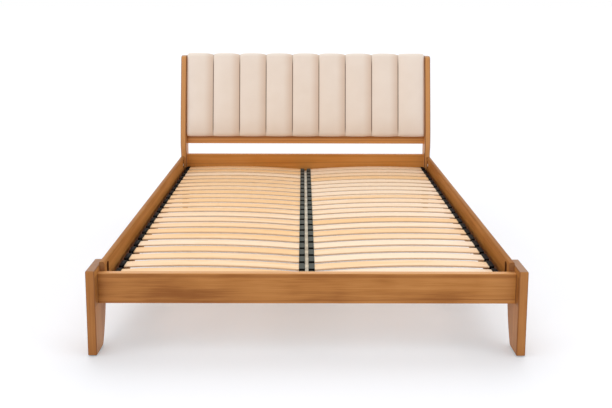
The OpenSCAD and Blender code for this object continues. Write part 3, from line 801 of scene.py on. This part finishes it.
class BED_OT_rails(bpy.types.Operator):
    """Models the foot rail, the side rails with their bolt pockets and the cross rails"""
    bl_idname = "bed.rails"
    bl_label = "Rails"

    def execute(self, context):
        s, c = context.scene.bed_sizes, context.scene.bed_colours
        low, high = (place.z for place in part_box("foot_rail"))
        # The foot rail has a painted highlight on its upper side.
        stain(self.cross_rail(s, "foot_rail"), 0, c, seed=3.0, lift=-0.04, figure=1.25, drift=0.12,
              rubbed=0.8, veins=((low + 0.013, 0.0075, 0.0042, 1.0), (high - 0.011, 0.0, 0.0085, 0.8)))
        low, high = (place.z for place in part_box("headboard_lower_rail"))
        veins = [(low + (high - low) * part, *vein) for part, *vein in (
            (0.93, 0.0, 0.006, 0.4), (0.66, 0.01, 0.004, 0.5), (0.47, -0.006, 0.006, 0.4))]
        stain(self.cross_rail(s, "headboard_lower_rail"), 0, c, seed=4.0, lift=0.23, figure=1.8,
              warmth=0.5, veins=veins)
        stain_pair(self.side_rail(s), 1, c, {"seed": 5.0, "lift": 0.09}, {"seed": 5.6, "lift": 0.15},
                   shine=0.05, dark_edges=0.25, pooled=self.dark_places(s))
        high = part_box("headboard_upper_rail")[1].z
        # The first band is painted shadow under the pad's lower edge; the second is darker grain.
        veins = (high - 0.034, 0.0, 0.018, 1.0), (high - 0.060, 0.004, 0.005, 0.5)
        stain(self.cross_rail(s, "headboard_upper_rail", leaning(s)), 0, c, seed=6.0, lift=0.3,
              figure=1.8, warmth=0.5, pale=0.16, veins=veins)
        node = "headboard_top_rail"
        keep(self.cross_rail(s, node, leaning(s)), plain_wood("plain_" + node, 0, c.raw_wood),
             "plain_wood", node)
        return {"FINISHED"}

    def cross_rail(self, s, node, turn=Matrix()):
        """A bar along X with rounded edges, measured and made upright and then turned into its place."""
        back = turn.inverted()
        places = [back @ v.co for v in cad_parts[node].data.vertices]
        low, high = ([side(p[i] for p in places) for i in range(3)] for side in (min, max))
        obj = cuboid("bar_" + node, low, high)
        bevel(obj, runs_along(obj, 0), s.rail_edge, 4)
        mark_edges(obj)
        obj.data.transform(turn)
        smooth(obj)
        return obj

    def side_rail(self, s):
        """The right-hand bar with its bolt pockets, rounder along the top edge by the mattress."""
        obj = cuboid("bar_side_rail_right", SIDE_LOW, SIDE_HIGH)
        runs = runs_along(obj, 1)

        def beside_mattress(edge):
            return all(p.z > SIDE_HIGH.z - NEAR and p.x < SIDE_LOW.x + NEAR for p in ends(obj, edge))

        def below_or_outside(edge):
            p = ends(obj, edge)[0]
            return runs(edge) and (p.z < SIDE_LOW.z + NEAR or p.x > SIDE_HIGH.x - NEAR)
        bevel(obj, beside_mattress, s.rail_top_edge, 6)
        bevel(obj, below_or_outside, s.rail_edge, 4)
        mark_edges(obj)
        for y in self.pocket_places(s):
            cut_out(obj, self.pocket(s, y))
        smooth(obj)
        return obj

    def pocket_places(self, s):
        return SIDE_LOW.y + s.pocket_end, SIDE_HIGH.y - s.pocket_end

    def pocket(self, s, y):
        """The oval hole, as a cutter that starts inside the bed."""
        below_top, start = 0.012, 0.002
        z = SIDE_HIGH.z - below_top - s.pocket_height / 2
        radius, half = s.pocket_width / 2, (s.pocket_height - s.pocket_width) / 2
        ring = [(SIDE_LOW.x - start, y + radius * math.cos(a),
                 z + radius * math.sin(a) + (half if a < math.pi else -half))
                for a in (math.tau * (i + 0.5) / 40 for i in range(40))]
        return prism("pocket_cutter", ring, (s.pocket_depth + 0.003, 0, 0))

    def dark_places(self, s):
        """Boxes of painted shade: the foot of the inner face beside the ledge, and the two pockets."""
        x, seat = SIDE_LOW.x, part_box("side_ledge_right")[1].z
        boxes = [((x - 0.002, SIDE_LOW.y, SIDE_LOW.z - 0.02), (x + 0.002, SIDE_HIGH.y, seat + 0.012),
                  0.7, 0.009)]
        top, half = SIDE_HIGH.z - 0.0105, s.pocket_width / 2 + 0.0015
        for y in self.pocket_places(s):
            boxes.append(((x + 0.0022, y - half, top - s.pocket_height - 0.003),
                          (x + s.pocket_depth + 0.002, y + half, top), 0.85, 0.0012))
        return boxes


class BED_OT_slats(bpy.types.Operator):
    """Models one bowed slat and lays the rows of slats"""
    bl_idname = "bed.slats"
    bl_label = "Slats"

    usual_tones = {"right": 0.30, "left": 0.70}  # from cool to warm
    tone_spread = 0.3

    def execute(self, context):
        s, c = context.scene.bed_sizes, context.scene.bed_colours
        finish = birch_laminate(c)
        pattern = self.slat(s)
        draw = random.Random(11)
        for node, middle in slat_rows():
            slats = []
            for side, usual in self.usual_tones.items():
                slat = copied(pattern, "slat", (0, middle, 0), mirror=side == "left")
                tone = min(1.0, max(0.0, draw.gauss(usual, self.tone_spread)))
                store(slat, "slat_tone", [tone] * len(slat.data.vertices))
                slats.append(slat)
            keep(join(slats, node.replace("slat_pair", "slat_row")), finish, "slat_birch", node)
        bpy.data.objects.remove(pattern)
        return {"FINISHED"}

    def slat(self, s):
        """The right-hand slat about Y = 0, bowed like the solid that it replaces."""
        low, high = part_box("slat_pair_01")
        solid = [v.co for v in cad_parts["slat_pair_01"].data.vertices if v.co.x > 0]
        x0, x1 = min(p.x for p in solid), high.x
        top0, top1 = (max(p.z for p in solid if abs(p.x - x) < 0.0005) for x in (x0, x1))
        width, thick = high.y - low.y, s.slat_thickness
        obj = cuboid("slat_pattern", (x0, -width / 2, 0), (x1, width / 2, thick))
        bevel(obj, runs_along(obj, 2), s.slat_corner, 3)
        cut_edges(obj, 0, 23)
        round_edges(obj, 0.0036, segments=3, angle=60)
        points = obj.data.vertices
        store(obj, "slat_depth", [v.co.z / thick for v in points])
        mouth0, mouth1 = x0 + s.cap_bite, x1 - s.cap_bite

        def lift(x):
            t = (x - mouth0) / (mouth1 - mouth0)
            return 4 * s.slat_bow * t * (1 - t)
        slope = (top1 - lift(x1) - top0 + lift(x0)) / (x1 - x0)
        for v in points:
            v.co.z += top0 - lift(x0) + slope * (v.co.x - x0) + lift(v.co.x) - thick
        smooth(obj, 50)
        return obj


class BED_OT_caps(bpy.types.Operator):
    """Models one slat cap and copies it to every slat end"""
    bl_idname = "bed.caps"
    bl_label = "Slat caps"

    lip = 0.0026
    mouth_share = 0.87  # of the height inside the lip
    mouth_depth = 0.0195
    peg_radius, peg_length = 0.004, 0.012

    def execute(self, context):
        s, c = context.scene.bed_sizes, context.scene.bed_colours
        places = [middle for node, middle in slat_rows()]
        pitch = (places[-1] - places[0]) / (len(places) - 1)
        plain = moulded_plastic("cap_plastic_side_caps", c.plastic_dark, 0.06, 0.45)
        dust_and_sheen_plastic = moulded_plastic("cap_plastic_centre_caps", c.plastic, 0.04, 0.4, c.dust_and_sheen, places[0],
                                pitch)
        # The last two numbers are how far a cap reaches past its solid at its low and its high end
        for kind, finish, turn, before, past in (
                ("side_caps", plain, s.side_cap_round, 0.0, 0.0),
                ("centre_caps", dust_and_sheen_plastic, s.centre_cap_round, 0.0003, 0.0025)):
            low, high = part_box(kind + "_right")
            pattern = self.cap(s, low.x - before, high.x + past, high.z, kind == "centre_caps", turn)
            for side in ("right", "left"):
                node = f"{kind}_{side}"
                caps = [copied(pattern, "cap", (0, y, 0), mirror=side == "left") for y in places]
                keep(join(caps, "moulded_" + node), finish, "cap_plastic", node)
            bpy.data.objects.remove(pattern)
        return {"FINISHED"}

    def cap(self, s, x0, x1, top, mouth_at_high, turn):
        """A cap about Y = 0: rounded back, open mouth with a lip, and a peg below."""
        height, width = s.cap_height, s.cap_width
        obj = cuboid("cap_pattern", (x0, -width / 2, top - height), (x1, width / 2, top))
        mouth_x, back_x = (x1, x0) if mouth_at_high else (x0, x1)
        inward = math.copysign(self.mouth_depth, back_x - mouth_x)
        floor_x = mouth_x + inward

        def upright(edge):
            a, b = ends(obj, edge)
            return abs(a.z - b.z) > NEAR

        def away_from_mouth(edge):
            return all(abs(p.x - mouth_x) > TOUCHING for p in ends(obj, edge))

        def at_top(edge):
            return all(p.z > top - TOUCHING for p in ends(obj, edge))

        def on_mouth_floor(edge):
            return all(abs(p.x - floor_x) < TOUCHING for p in ends(obj, edge))

        def mouth_face(face):
            return abs(face.normal.x) > 0.99 and abs(face.center.x - mouth_x) < TOUCHING
        bevel(obj, lambda e: away_from_mouth(e) and upright(e), turn, 4)
        bevel(obj, lambda e: away_from_mouth(e) and at_top(e), min(turn, 0.0045), 3, clamp=True)
        with editing(obj, "FACE", mouth_face):
            bpy.ops.mesh.inset(thickness=self.lip, depth=0)
            bpy.ops.transform.resize(value=(1, 1, self.mouth_share),
                                     center_override=(mouth_x, 0, top - height / 2))
            bpy.ops.mesh.extrude_region_move(TRANSFORM_OT_translate={"value": (inward, 0, 0)})
        bevel(obj, lambda e: on_mouth_floor(e) and upright(e), max(turn - 0.002, 0.001), 4)
        round_edges(obj, 0.0008, segments=2, angle=50)
        with editing(obj, "VERT", lambda v: True):
            bpy.ops.mesh.remove_doubles(threshold=0.00002)

        middle, r = (x0 + x1) / 2, self.peg_radius
        ring = [(middle + r * math.cos(a), r * math.sin(a), top - height + 0.001)
                for a in (math.tau * i / 16 for i in range(16))]
        obj = join([obj, prism("peg", ring, (0, 0, -self.peg_length))], "cap_pattern")
        smooth(obj)
        return obj


class BED_OT_headboard(bpy.types.Operator):
    """Models the channelled pad and swells it as cloth"""
    bl_idname = "bed.headboard"
    bl_label = "Padded headboard"

    columns = 16  # of the mesh in one channel
    rows = 52
    layers = 4
    swelling = 0.007  # what the pressure adds to the crown
    most_travel = 0.011
    frames = 20
    cloth = {"quality": 6, "mass": 0.25, "tension_stiffness": 18, "compression_stiffness": 18,
             "shear_stiffness": 6, "bending_stiffness": 4.0, "use_pressure": True,
             "uniform_pressure_force": 4.0, "shrink_min": 0.0, "vertex_group_mass": "sewn"}

    def execute(self, context):
        s, c = context.scene.bed_sizes, context.scene.bed_colours
        pad = self.lattice(s)
        start = self.shape(s, pad, s.pad_crown - self.swelling)
        self.swell(context.scene, s, pad, start)
        self.crease_seams(s, pad)
        modify(pad, "SUBSURF", levels=1, render_levels=1)
        pad.data.transform(leaning(s))
        make_active(pad)
        bpy.ops.object.shade_smooth()
        keep(pad, upholstery(c, s), "pad_fabric", "headboard_pad")
        return {"FINISHED"}

    def lattice(self, s):
        """A unit box cut into columns, rows and layers."""
        pad = cuboid("padded_channels", (-0.5, -0.5, -0.5), (0.5, 0.5, 0.5))
        for axis, parts in ((0, s.channels), (0, self.columns), (2, self.rows), (1, self.layers)):
            cut_edges(pad, axis, parts - 1)
        return pad

    def shape(self, s, pad, crown):
        """Gives the box the pad's form in the panel's own places, and returns them."""
        bottom_lift, back_sag = 0.004, 0.002
        for v in pad.data.vertices:
            column = round((v.co.x + 0.5) * s.channels * self.columns)
            forward, up = 0.5 - v.co.y, v.co.z + 0.5
            place = self.crowded(column / self.columns)
            rise = self.rise(s, place)
            thick = s.pad_seam + (crown - s.pad_seam) * rise
            low = s.pad_bottom + bottom_lift * (1 - rise)
            high = s.pad_bottom + s.pad_height - s.pad_scallop * (1 - rise)
            turn = forward * math.pi / 2
            back = low + (high - low) * up
            front = low + s.pad_edge + (high - low - 2 * s.pad_edge) * up
            v.co = (PAD_LOW.x + (PAD_HIGH.x - PAD_LOW.x) * place / s.channels,
                    -s.board - thick * math.sin(turn) - back_sag * math.sin(math.pi * up) * forward,
                    back + (front - back) * (1 - math.cos(turn)))
        return [v.co.copy() for v in pad.data.vertices]

    @staticmethod
    def crowded(place):
        """Draws columns of the mesh together at the seams."""
        whole = math.floor(place)
        part = place - whole
        return whole + 0.45 * part + 0.55 * (1 - math.cos(math.pi * part)) / 2

    @staticmethod
    def rise(s, place):
        """Height of the pad from 0 in a seam to 1 on a channel. A channel is fuller on its left, and the
        pad's two ends stay full up to the posts."""
        side = 2 * (place - math.floor(place)) - 1
        if place < 0.5 or place > s.channels - 0.5:
            return math.sqrt(max(0.0, 1 - side ** 10))
        steepness, fullness = (2.4, 0.75) if side > 0 else (3.2, 0.5)
        return max(0.0, 1 - abs(side) ** steepness) ** fullness

    @staticmethod
    def across(s, x):
        """A place across the pad, in channels from its low end."""
        return (x - PAD_LOW.x) / (PAD_HIGH.x - PAD_LOW.x) * s.channels

    @staticmethod
    def on_seam(place):
        return abs(place - round(place)) < 0.02

    def swell(self, scene, s, pad, start):
        """Cloth under pressure between the sewn seams, with each point's travel capped."""
        held = pad.vertex_groups.new(name="sewn")
        held.add([v.index for v in pad.data.vertices
                  if self.on_seam(self.across(s, v.co.x)) or v.co.y > -s.board - 0.0005], 1.0, "REPLACE")
        modifier = pad.modifiers.new("cloth", "CLOTH")
        for key, value in self.cloth.items():
            setattr(modifier.settings, key, value)
        modifier.settings.effector_weights.gravity = 0.0
        modifier.point_cache.frame_start = 1
        modifier.point_cache.frame_end = self.frames
        for number in range(1, self.frames + 1):
            scene.frame_set(number)
        make_active(pad)
        bpy.ops.object.modifier_apply(modifier=modifier.name)
        pad.vertex_groups.clear()
        scene.frame_set(1)
        for v, origin in zip(pad.data.vertices, start):
            step = v.co - origin
            if step.length > self.most_travel:
                v.co = origin + step * (self.most_travel / step.length)

    def crease_seams(self, s, pad):
        """Keeps the seams sharp when the mesh is smoothed, except round the pad's two ends."""
        crease = pad.data.attributes.new("crease_edge", "FLOAT", "EDGE")
        for edge in pad.data.edges:
            places = [self.across(s, p.x) for p in ends(pad, edge)]
            if all(0.5 < p < s.channels - 0.5 and self.on_seam(p) for p in places):
                crease.data[edge.index].value = 1.0


class BED_OT_hidden_timber(bpy.types.Operator):
    """Gives the board, ledges, beam, centre leg and fittings their finishes"""
    bl_idname = "bed.hidden_timber"
    bl_label = "Hidden timber and fittings"

    def execute(self, context):
        s, c = context.scene.bed_sizes, context.scene.bed_colours
        for node, axis, tone in (("headboard_board", 0, c.raw_wood), ("dowels", 1, c.raw_wood),
                                 ("centre_beam", 1, c.beam)):
            self.dress(plain_wood("plain_" + node, axis, tone), node)
        self.dress(stained_wood("stain_centre_leg", 2, c, 8.0), "centre_leg")
        low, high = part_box("side_ledge_right")
        past = Vector((0.01, 0.01, 0.01))
        # Painted shade on the strip of the ledge beside the side rail.
        beside_rail = ((high.x - 0.016, *(low - past).yz), high + past, 0.9, 0.003)
        stain_pair(self.batten(s, low, high), 1, c, {"seed": 9.6}, {"seed": 9.0}, pooled=(beside_rail,))
        self.dress(metal("zinc_plate", c.zinc, 0.3), "beam_hanger_foot", "beam_hanger_head",
                   "centre_leg_bolt", "ledge_screws", "hanger_screws", "board_screws")
        self.dress(metal("bright_zinc", c.bright_zinc, 0.45),
                   "bed_bolts", "half_moon_washers", "bolt_nuts")
        self.dress(metal("yellow_brass", c.brass, 0.28), "insert_nuts")
        self.dress(moulded_plastic("glide_plastic", c.glide), "floor_glides")
        return {"FINISHED"}

    def batten(self, s, low, high):
        """The ledge under the side caps, planed off below its inner edge."""
        obj = cuboid("batten_side_ledge_right", low, high)
        with editing(obj, "EDGE", lambda e: all(p.x < low.x + NEAR and p.z < low.z + NEAR
                                                for p in ends(obj, e))):
            bpy.ops.transform.translate(value=(s.ledge_planed, 0, 0))
        round_edges(obj, 0.002, segments=3, angle=30)
        mark_edges(obj)
        smooth(obj)
        return obj

    def dress(self, finish, *nodes):
        """Gives solids that stay as they are a better finish."""
        for node in nodes:
            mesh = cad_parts[node].data
            mesh.materials.clear()
            mesh.materials.append(finish)


class BED_PT_panel(bpy.types.Panel):
    """Lists the bed's pieces in the sidebar"""
    bl_idname = "BED_PT_panel"
    bl_label = "Double bed"
    bl_space_type = "VIEW_3D"
    bl_region_type = "UI"
    bl_category = "Bed"

    def draw(self, context):
        for operator in OPERATORS:
            self.layout.operator(operator.bl_idname)
        for group in (context.scene.bed_sizes, context.scene.bed_colours):
            for key in group.bl_rna.properties.keys():
                if key not in ("rna_type", "name"):
                    self.layout.prop(group, key)


OPERATORS = (BED_OT_stage, BED_OT_legs_and_posts, BED_OT_rails, BED_OT_slats, BED_OT_caps,
             BED_OT_headboard, BED_OT_hidden_timber)
CLASSES = (BedSizes, BedColours) + OPERATORS + (BED_PT_panel,)


def register():
    for cls in CLASSES:
        bpy.utils.register_class(cls)
    bpy.types.Scene.bed_sizes = PointerProperty(type=BedSizes)
    bpy.types.Scene.bed_colours = PointerProperty(type=BedColours)


def unregister():
    del bpy.types.Scene.bed_colours
    del bpy.types.Scene.bed_sizes
    for cls in reversed(CLASSES):
        bpy.utils.unregister_class(cls)


def main():
    register()
    bpy.ops.bed.stage()
    bpy.ops.bed.legs_and_posts()
    bpy.ops.bed.rails()
    bpy.ops.bed.slats()
    bpy.ops.bed.caps()
    bpy.ops.bed.headboard()
    bpy.ops.bed.hidden_timber()


if __name__ == "__main__":
    main()
